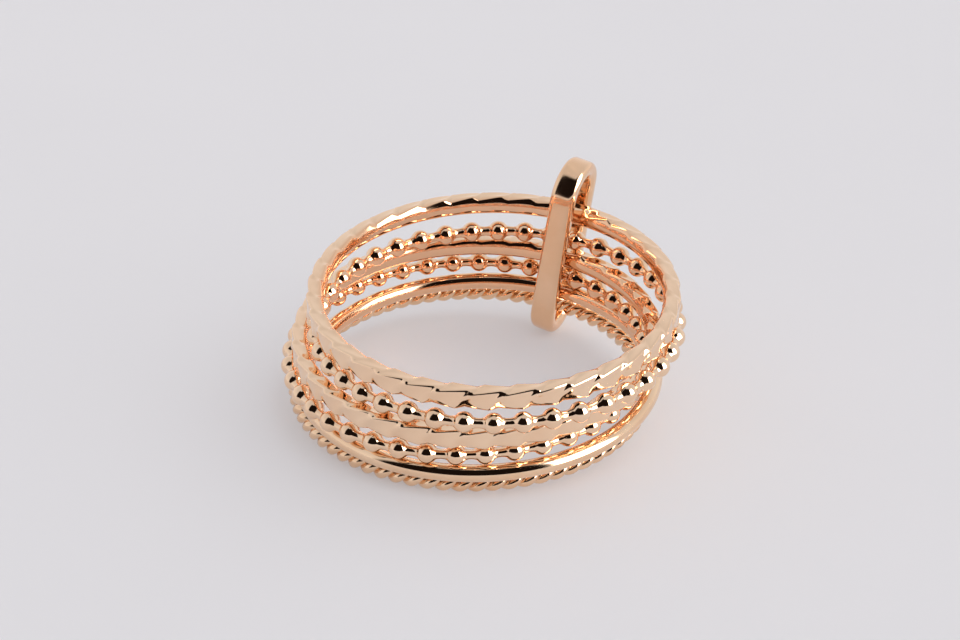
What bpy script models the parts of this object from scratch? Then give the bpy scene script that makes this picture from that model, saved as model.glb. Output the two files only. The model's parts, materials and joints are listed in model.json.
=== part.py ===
"""A stack ring of rose gold: six thin closed bands, one on another, held together loosely by
one long oval clip that they all pass through. The ring lies on its side, as it would by itself:
the lowest band touches the surface opposite the clip, and the clip stands on its lower bend.

The clip is at +Y and each band can turn through it, round the band's own axis. A band's object
has its origin at the band's centre and its local Z along that axis."""

import math
from collections import namedtuple

import bmesh
import bpy
from mathutils import Matrix, Vector

MM = 0.001

# The finger hole and the bands
INNER_DIAMETER = 17.5 * MM
BALL_DIAMETER = 1.08 * MM
BALL_PITCH = 1.453 * MM
NECK_DIAMETER = 0.5 * MM
PLAIN_DIAMETER = 0.9 * MM
ROPE_DIAMETER = 0.95 * MM
ROPE_PITCH = 0.828 * MM

# The faceted wire: rolled flat inside and underneath, while its top and outside lean in and out
# from facet to facet. Depth and height are over the sharp corners, before they are rounded off.
FACET_WIRE_DEPTH = 0.97 * MM
FACET_WIRE_HEIGHT = 1.09 * MM
FACET_WIRE_EDGE = 0.12 * MM
FACET_PITCH = 1.61 * MM
# How far the line between two facets runs on along the wire while it crosses the top
FACET_SLANT = 0.5 * MM
# The most that a facet leans
FACET_LEAN = math.radians(13)

# The clip: a loop of flat strip with round ends
CLIP_LENGTH = 10.9 * MM
CLIP_WIDTH = 1.36 * MM
CLIP_WALL = 0.8 * MM
CLIP_EDGE = 0.25 * MM
SLOT_WIDTH = 1.95 * MM
CLIP_LEANS_IN = math.radians(4.5)
CLIP_LEANS_ASIDE = math.radians(8.9)

# How loosely the pieces lie
REST_GAP = 0.05 * MM
WIDEST_OPENING = 0.4 * MM
SLOT_CLEARANCE = 0.17 * MM
LOWEST_BAND_LIFT = 0.25 * MM

# How finely the round shapes are cut
BALL_SIDES = 10
PLAIN_SIDES = 8
PLAIN_STEPS = 54
STEPS_IN_A_STROKE = 4
BEND_STEPS = 8

# Each band from the lowest up. It rests on the band under it on one side, and on the other side
# it stands open by a share of WIDEST_OPENING. Bearings are degrees from +X, seen from above.
# seat: how far out it lies in the clip's slot, from -1 at the inner bar to 1 at the outer one.
# swing: degrees that its centre has swung to +X, round the clip. turn: degrees that it has turned
# round its own axis, through the clip.
Layer = namedtuple("Layer", "name shape opening open_bearing seat swing turn")
LAYERS = (
    Layer("rope_band", "rope", 0.0, 0, 1.0, -4.7, 0.0),
    Layer("plain_band", "plain", 0.9, 38, -0.85, -1.5, 0.0),
    Layer("lower_bead_band", "beads", 0.0, 0, -1.0, -6.3, 3.6),
    Layer("lower_twist_band", "facets", 0.65, -165, -0.9, -4.2, 3.2),
    Layer("upper_bead_band", "beads", 0.0, 0, -1.0, 1.7, 6.1),
    Layer("upper_twist_band", "facets", 0.9, 135, 0.85, -1.9, -0.8),
)

# The ball's stations, as shares of its radius along the wire
BALL_STATIONS = (-0.62, 0.0, 0.62)
# Rope section: two strands side by side, as shares of the rope's radius every 60 degrees
ROPE_SECTION = (1.0, 0.62, 0.62, 1.0, 0.62, 0.62)
# A facet's sections: how far along the facet each one is, and how far it leans, as shares. A facet
# starts with its inner edge high and ends with its outer edge high, and then drops back.
FACET_SECTIONS = ((0.0, -1.0), (0.38, 0.0), (0.76, 1.0))

Shape = namedtuple("Shape", "depth height build")


def closed_sweep(name, radius, sections, seam_shift=0):
    """A ring swept round Z. Each section is its points, as (angle round Z, outwards, up) from the
    circle of the given radius. seam_shift says how many points on the last section meets the first
    one, where the section has turned on its way round."""
    mesh = bpy.data.meshes.new(name)
    work = bmesh.new()
    rings = []
    for points in sections:
        ring = []
        for angle, out, up in points:
            reach = radius + out
            ring.append(work.verts.new((reach * math.cos(angle), reach * math.sin(angle), up)))
        rings.append(ring)
    count = len(rings[0])
    for index, ring in enumerate(rings):
        last = index == len(rings) - 1
        following = rings[0] if last else rings[index + 1]
        shift = seam_shift if last else 0
        for point in range(count):
            beside = (point + 1) % count
            work.faces.new(
                (
                    ring[point],
                    following[(point + shift) % count],
                    following[(beside + shift) % count],
                    ring[beside],
                )
            )
    bmesh.ops.recalc_face_normals(work, faces=work.faces)
    work.to_mesh(mesh)
    work.free()
    return mesh


def round_section(angle, radius, sides):
    turns = [2 * math.pi * side / sides for side in range(sides)]
    return [(angle, radius * math.cos(turn), radius * math.sin(turn)) for turn in turns]


def bead_band(name):
    """Balls on a thin neck of wire, cast as one piece."""
    radius = (INNER_DIAMETER + BALL_DIAMETER) / 2
    ball = BALL_DIAMETER / 2
    neck = NECK_DIAMETER / 2
    neck_station = math.sqrt(ball**2 - neck**2) / ball
    shares = (-neck_station, *BALL_STATIONS, neck_station)
    balls = round(2 * math.pi * radius / BALL_PITCH)
    sections = []
    for index in range(balls):
        for share in shares:
            angle = 2 * math.pi * index / balls + share * ball / radius
            sections.append(round_section(angle, ball * math.sqrt(1 - share**2), BALL_SIDES))
    return closed_sweep(name, radius, sections)


def plain_band(name):
    """Smooth round wire."""
    radius = (INNER_DIAMETER + PLAIN_DIAMETER) / 2
    angles = [2 * math.pi * step / PLAIN_STEPS for step in range(PLAIN_STEPS)]
    sections = [round_section(angle, PLAIN_DIAMETER / 2, PLAIN_SIDES) for angle in angles]
    return closed_sweep(name, radius, sections)


def rope_band(name):
    """Two strands twisted together, and soldered into one wire. Half a turn brings one strand to
    where the other one was, which is one stroke of the rope."""
    radius = (INNER_DIAMETER + ROPE_DIAMETER) / 2
    strokes = round(2 * math.pi * radius / ROPE_PITCH)
    count = len(ROPE_SECTION)
    steps = strokes * STEPS_IN_A_STROKE
    sections = []
    for step in range(steps):
        angle = 2 * math.pi * step / steps
        turned = math.pi * step / STEPS_IN_A_STROKE
        points = []
        for index, share in enumerate(ROPE_SECTION):
            direction = turned + 2 * math.pi * index / count
            reach = share * ROPE_DIAMETER / 2
            points.append((angle, reach * math.cos(direction), reach * math.sin(direction)))
        sections.append(points)
    return closed_sweep(name, radius, sections, seam_shift=-strokes * count // 2 % count)


def facet_corners(lean):
    """The faceted wire's corners as (outwards, up, share of the slant), from the lower outer one
    round by the top. The top and the outer side lean; what would come past the rolled sides at the
    other corners is cut off there."""
    half_depth = FACET_WIRE_DEPTH / 2
    half_height = FACET_WIRE_HEIGHT / 2
    steepest = math.tan(FACET_LEAN)
    slope = math.tan(lean)
    side = (half_depth - half_height * steepest) / math.cos(2 * FACET_LEAN)
    top = (half_height - half_depth * steepest) / math.cos(2 * FACET_LEAN)
    share = math.cos(lean) ** 2
    return (
        (min(side + half_height * slope, half_depth), -half_height, -1),
        ((side - top * slope) * share, (top + side * slope) * share, 0),
        (-half_depth, min(top - half_depth * slope, half_height), 1),
        (-half_depth, -half_height, 0),
    )


def facet_band(name):
    """Square wire, twisted and then rolled: flat and smooth inside and underneath, while on the top
    and the outside slanted facets follow one another like scales."""
    radius = (INNER_DIAMETER + FACET_WIRE_DEPTH) / 2
    facets = round(2 * math.pi * radius / FACET_PITCH)
    sections = []
    for facet in range(facets):
        for along, share in FACET_SECTIONS:
            angle = 2 * math.pi * (facet + along) / facets
            corners = facet_corners(share * FACET_LEAN)
            points = []
            for index, (out, up, slant) in enumerate(corners):
                for next_out, next_up, next_slant in (corners[index - 1], corners[(index + 1) % len(corners)]):
                    cut = FACET_WIRE_EDGE / math.dist((out, up), (next_out, next_up))
                    run = (slant + (next_slant - slant) * cut) * FACET_SLANT
                    point = angle + run / radius, out + (next_out - out) * cut, up + (next_up - up) * cut
                    points.append(point)
            sections.append(points)
    return closed_sweep(name, radius, sections)


SHAPES = {
    "beads": Shape(BALL_DIAMETER, BALL_DIAMETER, bead_band),
    "plain": Shape(PLAIN_DIAMETER, PLAIN_DIAMETER, plain_band),
    "rope": Shape(ROPE_DIAMETER, ROPE_DIAMETER, rope_band),
    "facets": Shape(FACET_WIRE_DEPTH, FACET_WIRE_HEIGHT, facet_band),
}
THICKEST_DEPTH = max(shape.depth for shape in SHAPES.values())


def clip_mesh(name):
    """The clip's strip, swept round a long oval with its centre at the origin: local X is across
    the strip, Y is out of the ring and Z is along the clip."""
    bend = (SLOT_WIDTH + CLIP_WALL) / 2
    straight = CLIP_LENGTH / 2 - SLOT_WIDTH / 2 - CLIP_WALL
    places = []
    for end in (1, -1):
        for step in range(BEND_STEPS + 1):
            angle = math.pi * step / BEND_STEPS
            outward = Vector((0, end * math.cos(angle), end * math.sin(angle)))
            places.append((Vector((0, 0, end * straight)) + outward * bend, outward))
    wall = CLIP_WALL / 2
    half = CLIP_WIDTH / 2
    section = (
        (wall, half - CLIP_EDGE),
        (wall - CLIP_EDGE, half),
        (CLIP_EDGE - wall, half),
        (-wall, half - CLIP_EDGE),
        (-wall, CLIP_EDGE - half),
        (CLIP_EDGE - wall, -half),
        (wall - CLIP_EDGE, -half),
        (wall, CLIP_EDGE - half),
    )
    mesh = bpy.data.meshes.new(name)
    work = bmesh.new()
    rings = []
    for place, outward in places:
        rings.append([work.verts.new(place + outward * out + Vector((x, 0, 0))) for out, x in section])
    for index, ring in enumerate(rings):
        following = rings[(index + 1) % len(rings)]
        for point in range(len(section)):
            beside = (point + 1) % len(section)
            work.faces.new((ring[point], following[point], following[beside], ring[beside]))
    bmesh.ops.recalc_face_normals(work, faces=work.faces)
    work.to_mesh(mesh)
    work.free()
    return mesh


def gold(name, colour, roughness):
    material = bpy.data.materials.new(name)
    material.use_nodes = True
    shader = material.node_tree.nodes["Principled BSDF"]
    shader.inputs["Base Color"].default_value = (*colour, 1)
    shader.inputs["Metallic"].default_value = 1
    shader.inputs["Roughness"].default_value = roughness
    return material


def add_piece(name, mesh, material, sharp_above):
    mesh.shade_smooth()
    mesh.set_sharp_from_angle(angle=math.radians(sharp_above))
    mesh.materials.append(material)
    piece = bpy.data.objects.new(name, mesh)
    bpy.context.collection.objects.link(piece)
    return piece


def lowest_point(piece):
    """How far the piece reaches below its own origin, as it is turned now."""
    turn = piece.rotation_euler.to_matrix()
    return min((turn @ vertex.co).z for vertex in piece.data.vertices)


def stand_clip(clip, mean_radius):
    """Leans the clip as its bands do, and stands it on its lower bend, at the back of the ring."""
    clip.rotation_euler = (CLIP_LEANS_IN, CLIP_LEANS_ASIDE, 0)
    clip.location = (0, mean_radius, -lowest_point(clip))


def slot_point(clip, height):
    """The middle of the clip's slot at a height above the surface."""
    along = clip.rotation_euler.to_matrix() @ Vector((0, 0, 1))
    return clip.location + along * ((height - clip.location.z) / along.z)


def lay_bands(clip, bands, mean_radius):
    """Lays each band on the one under it. The lowest leans from the surface, opposite the clip,
    up to the clip's lower bend. A band's plane is kept as its height over the ring's centre and
    its slopes along X and Y."""
    lift = CLIP_WALL + LOWEST_BAND_LIFT
    slope = Vector((0, lift / (2 * mean_radius), 0))
    middle = lift / 2
    top_of_last = 0.0
    slack = (SLOT_WIDTH - THICKEST_DEPTH) / 2 - SLOT_CLEARANCE
    for index, (layer, band) in enumerate(zip(LAYERS, bands)):
        half_height = SHAPES[layer.shape].height / 2
        opening = layer.opening * WIDEST_OPENING
        bearing = math.radians(layer.open_bearing)
        away = Vector((math.cos(bearing), math.sin(bearing), 0))
        slope += away * (opening / (2 * mean_radius))
        gap = REST_GAP + opening / 2 if index else 0.0
        middle += top_of_last + gap + half_height
        top_of_last = half_height
        seat = slot_point(clip, middle + slope.y * mean_radius)
        seat.y += layer.seat * slack
        swing = math.radians(layer.swing)
        centre = seat + mean_radius * Vector((math.sin(swing), -math.cos(swing), 0))
        axis = Vector((-slope.x, -slope.y, 1)).normalized()
        rightward = Vector((1, 0, slope.x)).normalized()
        turned = Matrix.Rotation(math.radians(layer.turn), 3, "Z")
        band.rotation_euler = (Matrix((rightward, axis.cross(rightward), axis)).transposed() @ turned).to_euler()
        centre.z = middle + slope.dot(Vector((centre.x, centre.y, 0)))
        if index == 0:
            above_surface = centre.z + lowest_point(band)
            middle -= above_surface
            centre.z -= above_surface
        band.location = centre


def settle(pieces):
    """Puts every piece under one empty, whose place brings the ring's box over the origin and its
    lowest point down to the surface."""
    bpy.context.view_layer.update()
    corners = [piece.matrix_world @ vertex.co for piece in pieces for vertex in piece.data.vertices]
    low = Vector([min(corner[axis] for corner in corners) for axis in range(3)])
    high = Vector([max(corner[axis] for corner in corners) for axis in range(3)])
    ring = bpy.data.objects.new("stack_ring", None)
    ring.location = (-(low.x + high.x) / 2, -(low.y + high.y) / 2, -low.z)
    bpy.context.collection.objects.link(ring)
    for piece in pieces:
        piece.parent = ring


def build_ring():
    for existing in list(bpy.data.objects):
        bpy.data.objects.remove(existing, do_unlink=True)
    finishes = {
        "beads": gold("polished_beads", (0.95, 0.69, 0.49), 0.08),
        "plain": gold("polished_wire", (0.95, 0.68, 0.47), 0.10),
        "rope": gold("twisted_wire", (0.93, 0.66, 0.45), 0.14),
        "facets": gold("faceted_wire", (0.95, 0.70, 0.50), 0.12),
    }
    mean_radius = (INNER_DIAMETER + THICKEST_DEPTH) / 2
    clip = add_piece("clip", clip_mesh("clip"), gold("polished_clip", (0.92, 0.66, 0.46), 0.16), 50)
    stand_clip(clip, mean_radius)
    bands = []
    for layer in LAYERS:
        mesh = SHAPES[layer.shape].build(layer.name)
        bands.append(add_piece(layer.name, mesh, finishes[layer.shape], 50))
    lay_bands(clip, bands, mean_radius)
    settle([clip, *bands])


build_ring()
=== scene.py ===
"""A stack ring: six slim bands of polished rose gold, held together loosely by one long clip. It
lies on a pale table beside a window."""

import json
import math

import bpy
from mathutils import Matrix, Vector


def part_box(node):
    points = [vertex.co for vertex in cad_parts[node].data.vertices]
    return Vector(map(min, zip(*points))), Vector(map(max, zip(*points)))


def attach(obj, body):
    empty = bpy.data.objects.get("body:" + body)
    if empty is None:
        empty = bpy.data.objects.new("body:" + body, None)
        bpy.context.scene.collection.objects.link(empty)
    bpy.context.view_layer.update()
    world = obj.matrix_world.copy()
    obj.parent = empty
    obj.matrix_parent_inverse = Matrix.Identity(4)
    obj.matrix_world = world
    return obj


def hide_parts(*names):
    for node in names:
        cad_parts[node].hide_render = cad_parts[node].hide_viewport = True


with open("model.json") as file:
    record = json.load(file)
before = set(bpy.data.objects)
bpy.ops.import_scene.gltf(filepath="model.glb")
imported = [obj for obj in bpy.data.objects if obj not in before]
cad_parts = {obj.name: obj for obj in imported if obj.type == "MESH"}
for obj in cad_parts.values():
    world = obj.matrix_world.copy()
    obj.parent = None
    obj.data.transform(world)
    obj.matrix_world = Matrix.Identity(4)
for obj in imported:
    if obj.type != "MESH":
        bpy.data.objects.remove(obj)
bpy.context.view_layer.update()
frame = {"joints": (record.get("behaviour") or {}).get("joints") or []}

# The rope band, lowest in the stack
# Two round rose gold wires are twisted together tightly, bent into a ring and soldered where the
# ends meet. The solder also runs between the strands, so they are one body.
MM = 0.001
INNER_DIAMETER = 17.5 * MM
ROPE_DIAMETER = 0.95 * MM
ROPE_PITCH = 0.828 * MM
STRAND_DIAMETER = 0.52 * MM
STRAND_STARTS = (0.0, math.pi)
STRAND_STEPS = 24
STRAND_SIDES = 16
# Points nearer than this are joined, which closes the ring and the wire
SEAM_GAP = 0.0005 * MM
# A small part of a step, which keeps a whole number from being rounded to the one below it
STEP_GUARD = 0.001

# The gold's colour drifts over about 2 mm and its polish over 0.7 mm. The marks are 0.1 mm apart.
DRIFT_SCALE, DRIFT_DETAIL = 420, 3
PATCH_SCALE, PATCH_DETAIL = 1500, 4
MARK_SCALE, MARK_DETAIL = 9000, 5
MARK_STRENGTH = 0.3
DRIFT_RANGE = (0.35, 0.65)
PATCH_RANGE = (0.35, 0.75)
# Shares of the way round the wire, from the middle of its inner side to where that side ends, over
# which the painted reflection fades out
INNER_REFLECTION_SIDE = (0.10, 0.24)
# Painted reflection: a deeper, warmer colour that stands for light bounced between the gold surfaces
PAINTED_INNER_REFLECTION = (0.95, 0.58, 0.36)


class Amount:
    """A number inside a Geometry Nodes tree. Sums written with it add Math nodes to the tree."""

    def __init__(self, bench, socket):
        self.bench = bench
        self.socket = socket

    def __add__(self, other):
        return self.bench.sum("ADD", self, other)

    def __sub__(self, other):
        return self.bench.sum("SUBTRACT", self, other)

    def __mul__(self, other):
        return self.bench.sum("MULTIPLY", self, other)

    def __truediv__(self, other):
        return self.bench.sum("DIVIDE", self, other)

    def __pow__(self, other):
        return self.bench.sum("POWER", self, other)

    def floor(self):
        return self.bench.sum("FLOOR", self)

    def unsigned(self):
        return self.bench.sum("ABSOLUTE", self)

    def root(self):
        return self.bench.sum("SQRT", self)

    def cos(self):
        return self.bench.sum("COSINE", self)

    def sin(self):
        return self.bench.sum("SINE", self)

    def tan(self):
        return self.bench.sum("TANGENT", self)

    def at_least(self, other):
        return self.bench.sum("MAXIMUM", self, other)

    def at_most(self, other):
        return self.bench.sum("MINIMUM", self, other)

    def softly_at_least(self, other, softness):
        return self.bench.sum("SMOOTH_MAX", self, other, softness)

    def softly_at_most(self, other, softness):
        return self.bench.sum("SMOOTH_MIN", self, other, softness)


class WireBench:
    """A Geometry Nodes tree that bends wire into a closed ring round Z, with its sizes as inputs."""

    def __init__(self, name, sizes):
        self.tree = bpy.data.node_groups.new(name, "GeometryNodeTree")
        self.tree.interface.new_socket("Body", in_out="OUTPUT", socket_type="NodeSocketGeometry")
        for size, kind in sizes.items():
            self.tree.interface.new_socket(size, in_out="INPUT", socket_type=kind)
        self.tree.interface.new_socket("Finish", in_out="INPUT", socket_type="NodeSocketMaterial")
        self.entry = self.tree.nodes.new("NodeGroupInput")

    def size(self, name):
        return Amount(self, self.entry.outputs[name])

    def put(self, value, socket):
        if isinstance(value, Amount):
            value = value.socket
        if isinstance(value, bpy.types.NodeSocket):
            self.tree.links.new(value, socket)
        else:
            socket.default_value = value

    def node(self, kind, inputs, **settings):
        made = self.tree.nodes.new(kind)
        for setting, value in settings.items():
            setattr(made, setting, value)
        for name, value in inputs.items():
            self.put(value, made.inputs[name])
        return made.outputs

    def sum(self, operation, *terms):
        made = self.tree.nodes.new("ShaderNodeMath")
        made.operation = operation
        for term, socket in zip(terms, made.inputs):
            self.put(term, socket)
        return Amount(self, made.outputs[0])

    def lay_out(self, steps, sides):
        """A grid with one row for each section of the wire. Gives the grid, and for each point its
        share of the way round the ring and its share of the way round the wire."""
        columns = sides + 1
        grid = self.node("GeometryNodeMeshGrid", {"Vertices X": steps + 1, "Vertices Y": columns})
        index = Amount(self, self.node("GeometryNodeInputIndex", {})[0])
        row = (index / columns + STEP_GUARD).floor()
        kept = self.node(
            "GeometryNodeStoreNamedAttribute",
            {"Geometry": grid["Mesh"], "Name": "wire", "Value": grid["UV Map"]},
            data_type="FLOAT2",
            domain="CORNER",
        )
        return kept["Geometry"], row / steps, (index - row * columns) / sides

    def bend(self, grid, share, radius, out, up, along=0):
        """Bends the grid into the ring: out, up and along place each point beside the circle."""
        turn = share * math.tau
        x = turn.cos() * (out + radius) - turn.sin() * along
        y = turn.sin() * (out + radius) + turn.cos() * along
        place = self.node("ShaderNodeCombineXYZ", {"X": x, "Y": y, "Z": up})
        bent = self.node("GeometryNodeSetPosition", {"Geometry": grid, "Position": place[0]})
        joined = {"Geometry": bent[0], "Distance": SEAM_GAP}
        return self.node("GeometryNodeMergeByDistance", joined)[0]

    def finish(self, body):
        smooth = self.node("GeometryNodeSetShadeSmooth", {"Geometry": body})
        real = self.node("GeometryNodeRealizeInstances", {"Geometry": smooth[0]})
        dressed = self.node(
            "GeometryNodeSetMaterial",
            {"Geometry": real[0], "Material": self.entry.outputs["Finish"]},
        )
        leave = self.tree.nodes.new("NodeGroupOutput")
        self.tree.links.new(dressed[0], leave.inputs["Body"])
        return self.tree


def shade_sum(tree, operation, *terms):
    """A sum inside the tree of a material or of the room. Gives its result."""
    made = tree.nodes.new("ShaderNodeMath")
    made.operation = operation
    for term, socket in zip(terms, made.inputs):
        if isinstance(term, bpy.types.NodeSocket):
            tree.links.new(term, socket)
        else:
            socket.default_value = term
    return made.outputs[0]


def shade_range(tree, value, taken, given=(0.0, 1.0), soft=True):
    """Spreads a range of the value over another range, and stops at its ends."""
    spread = tree.nodes.new("ShaderNodeMapRange")
    spread.interpolation_type = "SMOOTHSTEP" if soft else "LINEAR"
    ends = {"From Min": taken[0], "From Max": taken[1], "To Min": given[0], "To Max": given[1]}
    for socket, end in ends.items():
        spread.inputs[socket].default_value = end
    tree.links.new(value, spread.inputs["Value"])
    return spread.outputs["Result"]


def shade_mix(tree, share, first, second):
    """Goes from the first colour to the second as the share goes from 0 to 1."""
    mix = tree.nodes.new("ShaderNodeMix")
    mix.data_type = "RGBA"
    tree.links.new(share, mix.inputs["Factor"])
    for value, socket in ((first, mix.inputs["A"]), (second, mix.inputs["B"])):
        if isinstance(value, bpy.types.NodeSocket):
            tree.links.new(value, socket)
        else:
            socket.default_value = (*value, 1)
    return mix.outputs["Result"]


def shade_noise(tree, scale, detail):
    """A cloudy pattern fixed to the piece."""
    clouds = tree.nodes.new("ShaderNodeTexNoise")
    clouds.inputs["Scale"].default_value = scale
    clouds.inputs["Detail"].default_value = detail
    place = tree.nodes.new("ShaderNodeTexCoord").outputs["Object"]
    tree.links.new(place, clouds.inputs["Vector"])
    return clouds.outputs["Fac"]


def rose_gold(name, colour, shade, polished, dull, mark_depth):
    """Polished rose gold: the alloy's colour drifts a little towards a deeper shade, the polish is
    duller in patches, and fine marks cover it where the metal was rubbed."""
    material = bpy.data.materials.new(name)
    material.use_nodes = True
    tree = material.node_tree
    shader = tree.nodes["Principled BSDF"]
    shader.inputs["Metallic"].default_value = 1.0

    drift = shade_noise(tree, DRIFT_SCALE, DRIFT_DETAIL)
    tint = shade_mix(tree, shade_range(tree, drift, DRIFT_RANGE, soft=False), shade, colour)

    # Painted reflection: the side of each wire that faces inwards is given a deeper, warmer colour,
    # which stands for light bounced between the gold surfaces
    wire_map = tree.nodes.new("ShaderNodeUVMap")
    wire_map.uv_map = "wire"
    round_wire = tree.nodes.new("ShaderNodeSeparateXYZ")
    tree.links.new(wire_map.outputs["UV"], round_wire.inputs["Vector"])
    apart = shade_sum(tree, "ABSOLUTE", shade_sum(tree, "SUBTRACT", round_wire.outputs["Y"], 0.5))
    gold = shade_mix(tree, shade_range(tree, apart, INNER_REFLECTION_SIDE), PAINTED_INNER_REFLECTION, tint)
    tree.links.new(gold, shader.inputs["Base Color"])

    patches = shade_noise(tree, PATCH_SCALE, PATCH_DETAIL)
    roughness = shade_range(tree, patches, PATCH_RANGE, (polished, dull), soft=False)
    tree.links.new(roughness, shader.inputs["Roughness"])

    rub = tree.nodes.new("ShaderNodeBump")
    rub.inputs["Strength"].default_value = MARK_STRENGTH
    rub.inputs["Distance"].default_value = mark_depth
    tree.links.new(shade_noise(tree, MARK_SCALE, MARK_DETAIL), rub.inputs["Height"])
    tree.links.new(rub.outputs["Normal"], shader.inputs["Normal"])
    return material


def make_band(node, tree, sizes, finish, turned=0.0):
    """Makes a band from its tree, puts it where the solid band is and lets it stand for that."""
    joint = next(joint for joint in frame["joints"] if joint["child"] == node)
    axis = Vector(joint["axis"]).normalized()
    rightward = Vector((axis.z, 0, -axis.x)).normalized()
    pose = Matrix((rightward, axis.cross(rightward), axis)).transposed().to_4x4()
    spin = Matrix.Rotation(math.radians(turned), 4, "Z")

    band = bpy.data.objects.new(node + "_polished", bpy.data.meshes.new(node))
    bpy.context.scene.collection.objects.link(band)
    bending = band.modifiers.new("Bending", "NODES")
    bending.node_group = tree
    for socket in tree.interface.items_tree:
        if socket.in_out == "INPUT":
            bending[socket.identifier] = finish if socket.name == "Finish" else sizes[socket.name]
    seen = bpy.context.evaluated_depsgraph_get()
    made = bpy.data.meshes.new_from_object(band.evaluated_get(seen))
    band.modifiers.clear()
    made.transform(Matrix.Translation(joint["pos_m"]) @ pose @ spin)
    made.name = node + "_polished"
    band.data = made
    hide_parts(node)
    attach(band, node)
    return band


LENGTH = "NodeSocketFloat"
COUNT = "NodeSocketInt"

bench = WireBench(
    "Rope wire",
    {"Radius": LENGTH, "Turns": COUNT, "Offset": LENGTH, "Strand": LENGTH},
)
turns = bench.size("Turns")
offset = bench.size("Offset")
strand_radius = bench.size("Strand")
grid, share, around = bench.lay_out(turns * STRAND_STEPS, STRAND_SIDES)
lean = offset * turns / bench.size("Radius")
strand_length = (lean * lean + 1).root()
side = around * math.tau
strands = bench.node("GeometryNodeJoinGeometry", {})
for start in STRAND_STARTS:
    twist = share * turns * math.tau + start
    reach = offset + side.cos() * strand_radius
    swing = side.sin() * strand_radius / strand_length
    out = reach * twist.cos() - swing * twist.sin()
    up = reach * twist.sin() + swing * twist.cos()
    along = side.sin() * strand_radius * lean / strand_length * -1
    strand = bench.bend(grid, share, bench.size("Radius"), out, up, along)
    bench.tree.links.new(strand, strands[0].node.inputs["Geometry"])
rope_tree = bench.finish(strands[0])

rope_radius = (INNER_DIAMETER + ROPE_DIAMETER) / 2
rope_sizes = {
    "Radius": rope_radius,
    "Turns": round(math.pi * rope_radius / ROPE_PITCH),
    "Offset": (ROPE_DIAMETER - STRAND_DIAMETER) / 2,
    "Strand": STRAND_DIAMETER / 2,
}
rope_gold = rose_gold(
    "rope_gold",
    colour=(0.95, 0.68, 0.46),
    shade=(0.90, 0.60, 0.38),
    polished=0.09,
    dull=0.15,
    mark_depth=0.004 * MM,
)
make_band("rope_band", rope_tree, rope_sizes, rope_gold)

# The plain band, on the rope band
# Round rose gold wire, bent into a ring, soldered and polished to a mirror.
PLAIN_DIAMETER = 0.9 * MM
PLAIN_STEPS = 240
PLAIN_SIDES = 40

bench = WireBench("Plain wire", {"Radius": LENGTH, "Wire": LENGTH, "Steps": COUNT, "Sides": COUNT})
grid, share, around = bench.lay_out(bench.size("Steps"), bench.size("Sides"))
side = around * math.tau
out = side.cos() * bench.size("Wire")
up = side.sin() * bench.size("Wire")
plain_tree = bench.finish(bench.bend(grid, share, bench.size("Radius"), out, up))

plain_sizes = {
    "Radius": (INNER_DIAMETER + PLAIN_DIAMETER) / 2,
    "Wire": PLAIN_DIAMETER / 2,
    "Steps": PLAIN_STEPS,
    "Sides": PLAIN_SIDES,
}
plain_gold = rose_gold(
    "plain_gold",
    colour=(0.96, 0.69, 0.47),
    shade=(0.92, 0.63, 0.41),
    polished=0.06,
    dull=0.10,
    mark_depth=0.002 * MM,
)
make_band("plain_band", plain_tree, plain_sizes, plain_gold)

# The two beaded bands
# Balls joined by narrow hollow waists, cast or rolled from one wire and soldered into a ring, then
# polished until each ball mirrors the room.
BALL_DIAMETER = 1.08 * MM
BALL_PITCH = 1.453 * MM
NECK_DIAMETER = 0.5 * MM
WAIST_BEND = 0.8 * MM
WAIST_FILLET = 0.03 * MM
BALL_STEPS = 28
BALL_SIDES = 28
LOWER_BEADS_TURNED = 3.6
UPPER_BEADS_TURNED = 6.1

bench = WireBench(
    "Beaded wire",
    {"Radius": LENGTH, "Balls": COUNT, "Ball": LENGTH, "Neck": LENGTH, "Waist": LENGTH},
)
balls = bench.size("Balls")
ball = bench.size("Ball")
waist = bench.size("Waist")
grid, share, around = bench.lay_out(balls * BALL_STEPS, BALL_SIDES)
# Sections lie closer together where the ball's outline is steep
nearest = (share * balls + 0.5).floor()
from_ball = (share * balls - nearest) * 2
spread = (from_ball * (math.pi / 2)).sin()
half_pitch = bench.size("Radius") * math.pi / balls
beyond = spread * half_pitch
round_ball = (ball * ball - beyond * beyond).at_least(0).root()
from_waist = (half_pitch - beyond.unsigned()).at_most(half_pitch / 2)
hollow = waist - (waist * waist - from_waist * from_waist).root() + bench.size("Neck")
wire = round_ball.softly_at_least(hollow, WAIST_FILLET)
side = around * math.tau
out = side.cos() * wire
up = side.sin() * wire
even_share = (nearest + spread / 2) / balls
bead_tree = bench.finish(bench.bend(grid, even_share, bench.size("Radius"), out, up))

bead_radius = (INNER_DIAMETER + BALL_DIAMETER) / 2
bead_sizes = {
    "Radius": bead_radius,
    "Balls": round(math.tau * bead_radius / BALL_PITCH),
    "Ball": BALL_DIAMETER / 2,
    "Neck": NECK_DIAMETER / 2,
    "Waist": WAIST_BEND,
}
bead_gold = rose_gold(
    "bead_gold",
    colour=(0.96, 0.70, 0.49),
    shade=(0.93, 0.65, 0.44),
    polished=0.04,
    dull=0.07,
    mark_depth=0.0015 * MM,
)
make_band("lower_bead_band", bead_tree, bead_sizes, bead_gold, turned=LOWER_BEADS_TURNED)
make_band("upper_bead_band", bead_tree, bead_sizes, bead_gold, turned=UPPER_BEADS_TURNED)

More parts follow.
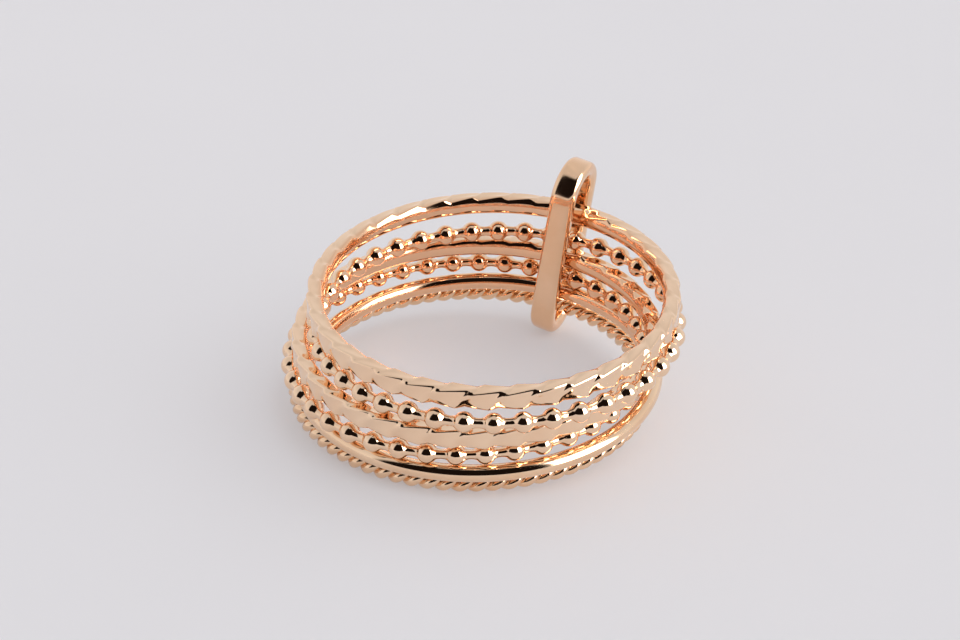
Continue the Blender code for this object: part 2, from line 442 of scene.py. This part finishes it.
# The two faceted bands
# Square wire, twisted and then rolled: smooth inside and underneath, while on the top and the
# outside slanted facets follow one another like scales. Their edges are rubbed soft.
FACET_WIRE_DEPTH = 0.97 * MM
FACET_WIRE_HEIGHT = 1.09 * MM
FACET_PITCH = 1.61 * MM
FACET_SLANT = 0.5 * MM
FACET_LEAN = math.radians(13)
FACET_RISE = 0.76
FACET_TOP_SOFTNESS = 0.1
RIDGE_BEARING = math.radians(49)
EDGE_SHARPNESS = 6.5
EDGE_CROWDING = 0.6
SIDE_STOP_SOFTNESS = 0.02 * MM
INNER_ROUNDING = 0.4
FACET_STEPS = 20
FACET_SIDES = 56
FACET_GUARD = 0.0001
LOWER_FACETS_TURNED = 3.2
UPPER_FACETS_TURNED = -0.8

bench = WireBench(
    "Faceted wire",
    {
        "Radius": LENGTH,
        "Facets": COUNT,
        "Half depth": LENGTH,
        "Half height": LENGTH,
        "Lean": LENGTH,
        "Rise": LENGTH,
        "Slant": LENGTH,
        "Sharpness": LENGTH,
        "Rounding": LENGTH,
    },
)
facets = bench.size("Facets")
half_depth = bench.size("Half depth")
half_height = bench.size("Half height")
lean = bench.size("Lean")
rise = bench.size("Rise")
sharpness = bench.size("Sharpness")
grid, share, around = bench.lay_out(facets * FACET_STEPS, FACET_SIDES)
# A facet leans further and further out until it drops back
facet = share * facets
passed = facet - (facet + FACET_GUARD).floor()
dropping = (passed * -1 + 1) / (rise * -1 + 1)
risen = (passed / rise).softly_at_most(dropping, FACET_TOP_SOFTNESS)
slope = ((risen * 2 - 1) * lean).tan()
side_reach = (half_depth - half_height * lean.tan()) / (lean * 2).cos()
top_reach = (half_height - half_depth * lean.tan()) / (lean * 2).cos()
# Four sides, of which the top and the outer one lean, with softly rounded edges between them.
# Points are crowded at the edges.
turn = around * math.tau
bearing = turn + (turn * 4).sin() * (EDGE_CROWDING / 4)
outwards = bearing.cos()
upwards = bearing.sin()
nearness = (
    ((outwards + upwards * slope) / side_reach).at_least(0) ** sharpness
    + ((upwards - outwards * slope) / top_reach).at_least(0) ** sharpness
    + (outwards * -1 / half_depth).at_least(0) ** sharpness
    + (upwards * -1 / half_height).at_least(0) ** sharpness
)
reach = nearness ** bench.sum("DIVIDE", -1, sharpness)
out = (outwards * reach).softly_at_least(half_depth * -1, SIDE_STOP_SOFTNESS)
out = out.softly_at_most(half_depth, SIDE_STOP_SOFTNESS)
up = (upwards * reach).softly_at_least(half_height * -1, SIDE_STOP_SOFTNESS)
up = up.softly_at_most(half_height, SIDE_STOP_SOFTNESS)
# The side against the finger is slightly rounded
height_share = up / half_height
out = out - out.at_most(0) * height_share * height_share * bench.size("Rounding")
slant = (bearing - RIDGE_BEARING).sin() * bench.size("Slant") / bench.size("Radius") / math.tau
facet_tree = bench.finish(bench.bend(grid, share + slant, bench.size("Radius"), out, up))

facet_radius = (INNER_DIAMETER + FACET_WIRE_DEPTH) / 2
facet_sizes = {
    "Radius": facet_radius,
    "Facets": round(math.tau * facet_radius / FACET_PITCH),
    "Half depth": FACET_WIRE_DEPTH / 2,
    "Half height": FACET_WIRE_HEIGHT / 2,
    "Lean": FACET_LEAN,
    "Rise": FACET_RISE,
    "Slant": FACET_SLANT,
    "Sharpness": EDGE_SHARPNESS,
    "Rounding": INNER_ROUNDING,
}
facet_gold = rose_gold(
    "facet_gold",
    colour=(0.97, 0.71, 0.50),
    shade=(0.95, 0.67, 0.46),
    polished=0.06,
    dull=0.10,
    mark_depth=0.002 * MM,
)
make_band("lower_twist_band", facet_tree, facet_sizes, facet_gold, turned=LOWER_FACETS_TURNED)
make_band("upper_twist_band", facet_tree, facet_sizes, facet_gold, turned=UPPER_FACETS_TURNED)

# The clip
# Flat rose gold strip, bent into a long loop round all six bands and soldered, with its edges
# rubbed round. It stands on its lower bend and leans with the stack.
CLIP_LENGTH = 10.9 * MM
CLIP_WIDTH = 1.36 * MM
CLIP_WALL = 0.8 * MM
CLIP_EDGE = 0.32 * MM
SLOT_WIDTH = 1.95 * MM
CLIP_LEANS_IN = math.radians(4.5)
CLIP_LEANS_ASIDE = math.radians(8.9)
BEND_STEPS = 28
BAR_STEPS = 12
EDGE_STEPS = 6

# The middle line of the strip: each place on it, and which way is outwards there
bend = (SLOT_WIDTH + CLIP_WALL) / 2
straight = CLIP_LENGTH / 2 - SLOT_WIDTH / 2 - CLIP_WALL
loop = []
for end in (1, -1):
    for step in range(BEND_STEPS + 1):
        angle = math.pi * step / BEND_STEPS
        outward = Vector((0, end * math.cos(angle), end * math.sin(angle)))
        loop.append((Vector((0, 0, end * straight)) + outward * bend, outward))
    for step in range(1, BAR_STEPS):
        down = straight * (1 - 2 * step / BAR_STEPS)
        loop.append((Vector((0, -end * bend, end * down)), Vector((0, -end, 0))))

# The strip's section, with its four edges rounded
section = []
for corner, (side_x, side_y) in enumerate(((1, 1), (-1, 1), (-1, -1), (1, -1))):
    for step in range(EDGE_STEPS + 1):
        angle = math.pi / 2 * (corner + step / EDGE_STEPS)
        x = side_x * (CLIP_WIDTH / 2 - CLIP_EDGE) + CLIP_EDGE * math.cos(angle)
        y = side_y * (CLIP_WALL / 2 - CLIP_EDGE) + CLIP_EDGE * math.sin(angle)
        section.append((x, y))

low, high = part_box("clip")
lean = Matrix.Rotation(CLIP_LEANS_ASIDE, 4, "Y") @ Matrix.Rotation(CLIP_LEANS_IN, 4, "X")
place = Matrix.Translation((low + high) / 2) @ lean
points = []
faces = []
for ring, (middle, outward) in enumerate(loop):
    following = (ring + 1) % len(loop)
    for point, (x, y) in enumerate(section):
        beside = (point + 1) % len(section)
        points.append(place @ (middle + outward * y + Vector((x, 0, 0))))
        corners = ((ring, point), (following, point), (following, beside), (ring, beside))
        faces.append([at_ring * len(section) + at_point for at_ring, at_point in corners])

clip_gold = rose_gold(
    "clip_gold",
    colour=(0.95, 0.64, 0.42),
    shade=(0.90, 0.58, 0.36),
    polished=0.10,
    dull=0.17,
    mark_depth=0.004 * MM,
)
clip_mesh = bpy.data.meshes.new("clip_polished")
clip_mesh.from_pydata(points, [], faces)
clip_mesh.shade_smooth()
clip_mesh.materials.append(clip_gold)
clip = bpy.data.objects.new("clip_polished", clip_mesh)
bpy.context.scene.collection.objects.link(clip)
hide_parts("clip")
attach(clip, "clip")

# The table
# A smooth pale sheet with a faint cool tint, which runs on past the view. It glows a little all
# over: painted light, which lifts the shade in the ring's hole and around the bands.
TABLE_REACH = 0.6
PAPER_SCALE, PAPER_DETAIL = 60, 2
PAPER_DARK = (0.50, 0.49, 0.50)
PAPER_LIGHT = (0.52, 0.51, 0.52)
PAPER_PAINTED_FILL_LIGHT = (0.27, 0.265, 0.275)
PAPER_ROUGHNESS = 0.9

paper = bpy.data.materials.new("paper")
paper.use_nodes = True
shader = paper.node_tree.nodes["Principled BSDF"]
grain = shade_noise(paper.node_tree, PAPER_SCALE, PAPER_DETAIL)
tone = shade_mix(paper.node_tree, grain, PAPER_DARK, PAPER_LIGHT)
paper.node_tree.links.new(tone, shader.inputs["Base Color"])
shader.inputs["Roughness"].default_value = PAPER_ROUGHNESS
# Painted light: an even glow on the sheet that fills in its shade
shader.inputs["Emission Color"].default_value = (*PAPER_PAINTED_FILL_LIGHT, 1)
shader.inputs["Emission Strength"].default_value = 1.0

table_mesh = bpy.data.meshes.new("table")
table_corners = [
    (side_x * TABLE_REACH, side_y * TABLE_REACH, 0)
    for side_x, side_y in ((-1, -1), (1, -1), (1, 1), (-1, 1))
]
table_mesh.from_pydata(table_corners, [], [(0, 1, 2, 3)])
table_mesh.materials.append(paper)
table = bpy.data.objects.new("table", table_mesh)
bpy.context.scene.collection.objects.link(table)

# The room and its light
# A bright room with pale walls. The side that the viewer stands on is dark, and polished metal that
# faces it turns nearly black. One large window is to the right.
VIEW_ELEVATION = math.radians(29.0)
VIEW_YAW = math.radians(24.5)
WALL_LOW = (0.84, 0.84, 0.86)
WALL_HIGH = (0.68, 0.68, 0.70)
DARKNESS = (0.010, 0.007, 0.006)
DAYLIGHT = (8.0, 7.85, 7.6)
TABLE_SHADE = (0.66, 0.66, 0.68)
TABLE_LIGHT = (1.25, 1.24, 1.25)

forward = Vector(
    (
        -math.sin(VIEW_YAW) * math.cos(VIEW_ELEVATION),
        math.cos(VIEW_YAW) * math.cos(VIEW_ELEVATION),
        -math.sin(VIEW_ELEVATION),
    )
)
level = Vector((math.cos(VIEW_YAW), math.sin(VIEW_YAW), 0))

room = bpy.data.worlds.new("room")
room.use_nodes = True
room.cycles.sampling_method = "NONE"
bpy.context.scene.world = room
air = room.node_tree
air.nodes.clear()
gaze = air.nodes.new("ShaderNodeTexCoord").outputs["Generated"]


def part_of_gaze(direction):
    facing = air.nodes.new("ShaderNodeVectorMath")
    facing.operation = "DOT_PRODUCT"
    facing.inputs[1].default_value = direction
    air.links.new(gaze, facing.inputs[0])
    return facing.outputs["Value"]


# Bearings in the room: 0 is the viewer's side, and 90 degrees is to the right
to_viewer = Vector((-forward.x, -forward.y, 0)).normalized()
room_bearing = shade_sum(air, "ARCTAN2", part_of_gaze(level), part_of_gaze(to_viewer))
room_height = shade_sum(air, "ARCSINE", part_of_gaze(Vector((0, 0, 1))))


def patch(bearings, heights, softness):
    """How far each direction lies within a soft four-sided patch of the room, given in degrees."""
    inside = 1.0
    for angle, (first, last) in ((room_bearing, bearings), (room_height, heights)):
        for edge, way in ((first, 1), (last, -1)):
            outer = math.radians(edge - way * softness / 2)
            inner = math.radians(edge + way * softness / 2)
            inside = shade_sum(air, "MULTIPLY", inside, shade_range(air, angle, (outer, inner)))
    return inside


walls = shade_mix(air, patch((-180, 180), (30, 120), 60), WALL_LOW, WALL_HIGH)
walls = shade_mix(air, patch((-60, 40), (-14, 70), 9), walls, DARKNESS)
room_light = shade_mix(air, patch((44, 84), (0, 50), 8), walls, DAYLIGHT)
# The table is lit from all over the ceiling, and more from the right
table_light = shade_mix(air, patch((20, 150), (-20, 80), 50), TABLE_SHADE, TABLE_LIGHT)
on_the_table = air.nodes.new("ShaderNodeLightPath").outputs["Is Diffuse Ray"]
light = air.nodes.new("ShaderNodeBackground")
air.links.new(shade_mix(air, on_the_table, room_light, table_light), light.inputs["Color"])
outside = air.nodes.new("ShaderNodeOutputWorld")
air.links.new(light.outputs["Background"], outside.inputs["Surface"])

# The camera
# A long lens looks down across the ring, with the clip at the back on the right.
VIEW_ROLL = math.radians(1.28)
VIEW_DISTANCE = 137.3 * MM
VIEW_CENTRE = Vector((0.317, -1.829, 5.94)) * MM

lens = bpy.data.cameras.new("camera")
lens.lens = 100
lens.sensor_width = 36
lens.clip_start = 0.005
lens.clip_end = 5
camera = bpy.data.objects.new("camera", lens)
upward = level.cross(forward)
right = level * math.cos(VIEW_ROLL) + upward * math.sin(VIEW_ROLL)
top = upward * math.cos(VIEW_ROLL) - level * math.sin(VIEW_ROLL)
pose = Matrix((right, top, -forward)).transposed().to_4x4()
camera.matrix_world = Matrix.Translation(VIEW_CENTRE - forward * VIEW_DISTANCE) @ pose
bpy.context.scene.collection.objects.link(camera)
bpy.context.scene.camera = camera
bpy.context.scene.view_settings.view_transform = "Standard"
